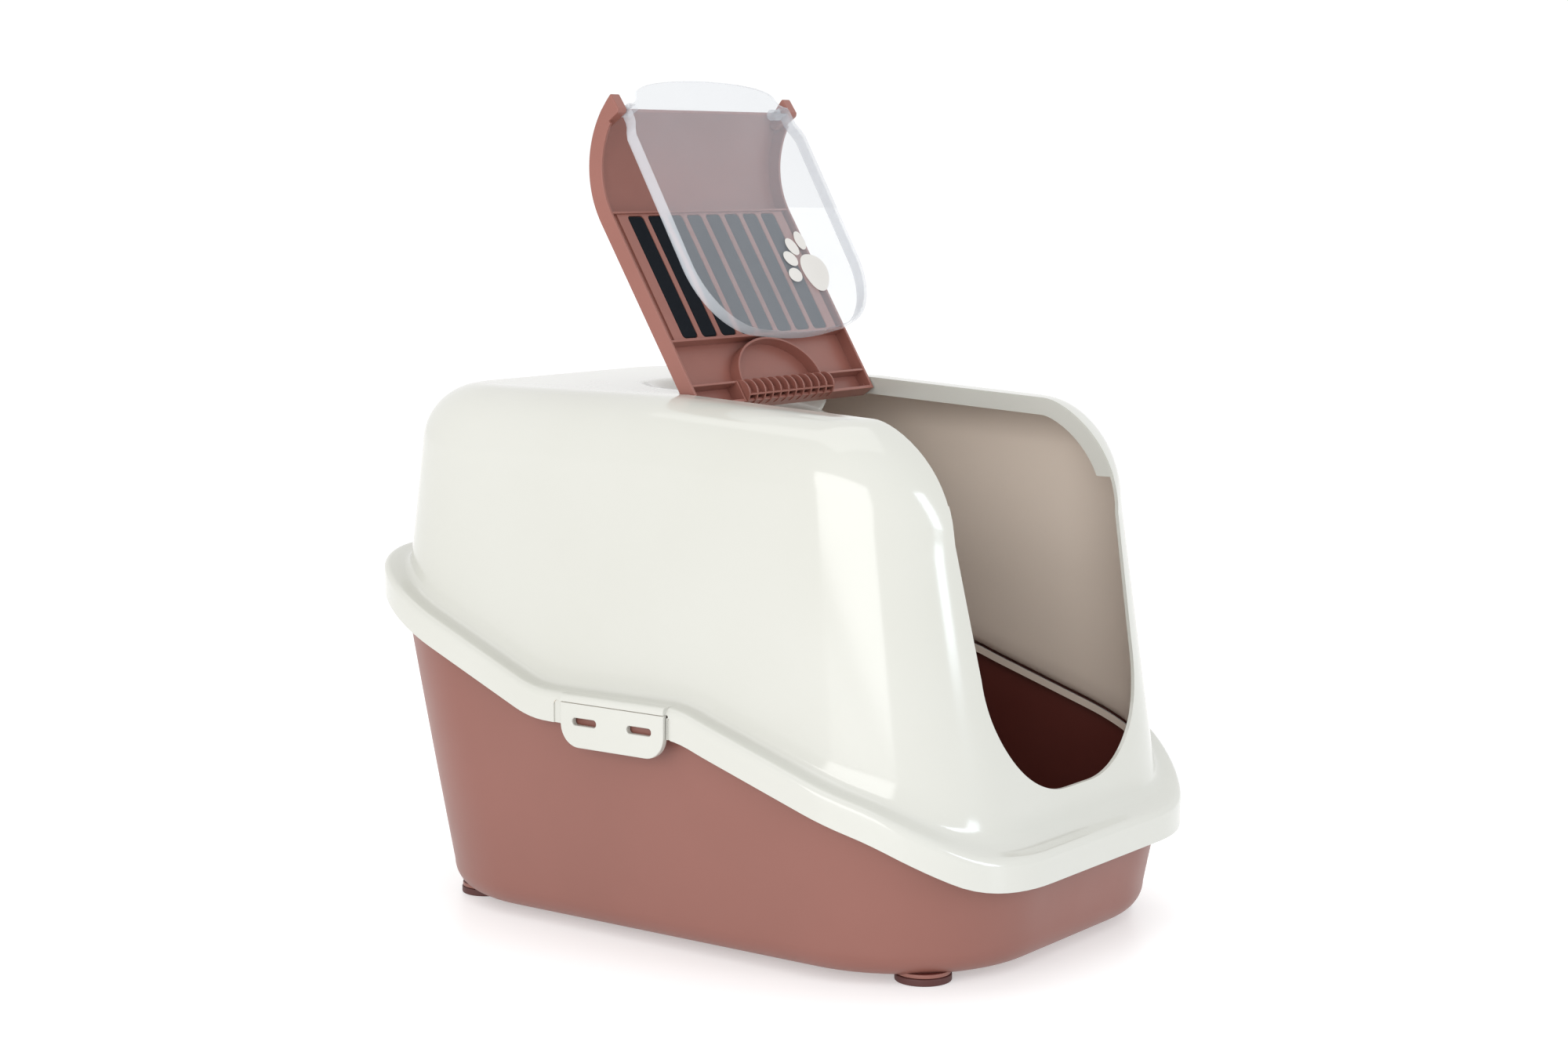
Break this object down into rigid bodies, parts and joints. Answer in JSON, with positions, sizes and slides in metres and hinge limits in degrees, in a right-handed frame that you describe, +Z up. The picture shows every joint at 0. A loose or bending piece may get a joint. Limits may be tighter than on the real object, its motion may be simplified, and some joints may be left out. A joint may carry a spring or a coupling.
{
  "type": "cat litter box with hood",
  "caption": "Deep rounded tray under a glossy hood with a sloping rim, a rear-hinged roof hatch holding a filter pad, and a clear swing flap that folds up inside the hatch.",
  "frame": {"origin": "floor level, under the middle of the tray's rim", "axes": "+X towards the entrance, +Y to the left seen from behind, +Z up"},
  "size_m": [0.56, 0.396, 0.6061],
  "materials": {
    "terracotta_plastic": "satin moulded",
    "white_gloss_plastic": "glossy moulded",
    "clear_plastic": "clear, polished",
    "carbon_felt": "open felt",
    "print_film": "thin printed layer",
    "foot_rubber": "matt"
  },
  "bodies": {
    "base": {"base_tray": "terracotta_plastic", "foot_1": "foot_rubber", "foot_2": "foot_rubber", "foot_3": "foot_rubber", "foot_4": "foot_rubber"},
    "hood": {"hood": "white_gloss_plastic"},
    "latch_left": {"latch_left": "white_gloss_plastic"},
    "latch_right": {"latch_right": "white_gloss_plastic"},
    "hatch": {"hatch_frame": "terracotta_plastic", "filter_pad": "carbon_felt", "filter_cover": "terracotta_plastic", "hatch_pin_left": "terracotta_plastic", "hatch_pin_right": "terracotta_plastic", "flap_pin_left": "clear_plastic", "flap_pin_right": "clear_plastic"},
    "flap": {"swing_flap": "clear_plastic", "paw_print_pad": "print_film", "paw_print_toe_1": "print_film", "paw_print_toe_2": "print_film", "paw_print_toe_3": "print_film", "paw_print_toe_4": "print_film"}
  },
  "joints": [
    {"name": "hood_lift", "type": "slide", "parent": "base", "child": "hood", "axis": [0, 0, 1], "range_m": [0, 0.15]},
    {"name": "hatch_hinge", "type": "hinge", "parent": "hood", "child": "hatch", "pos_m": [0, 0, 0.3765], "axis": [0, 1, 0], "range_deg": [0, 124]},
    {"name": "flap_hinge", "type": "hinge", "parent": "hatch", "child": "flap", "pos_m": [-0.07337, 0, 0.58273], "axis": [0, -1, 0], "range_deg": [0, 118]},
    {"name": "latch_left_flex", "type": "hinge", "parent": "hood", "child": "latch_left", "pos_m": [0, 0.1955, 0.1731], "axis": [1, 0, 0], "range_deg": [0, 12], "stiffness_Nm_per_rad": 0.4},
    {"name": "latch_right_flex", "type": "hinge", "parent": "hood", "child": "latch_right", "pos_m": [0, -0.1955, 0.1731], "axis": [-1, 0, 0], "range_deg": [0, 12], "stiffness_Nm_per_rad": 0.4}
  ]
}
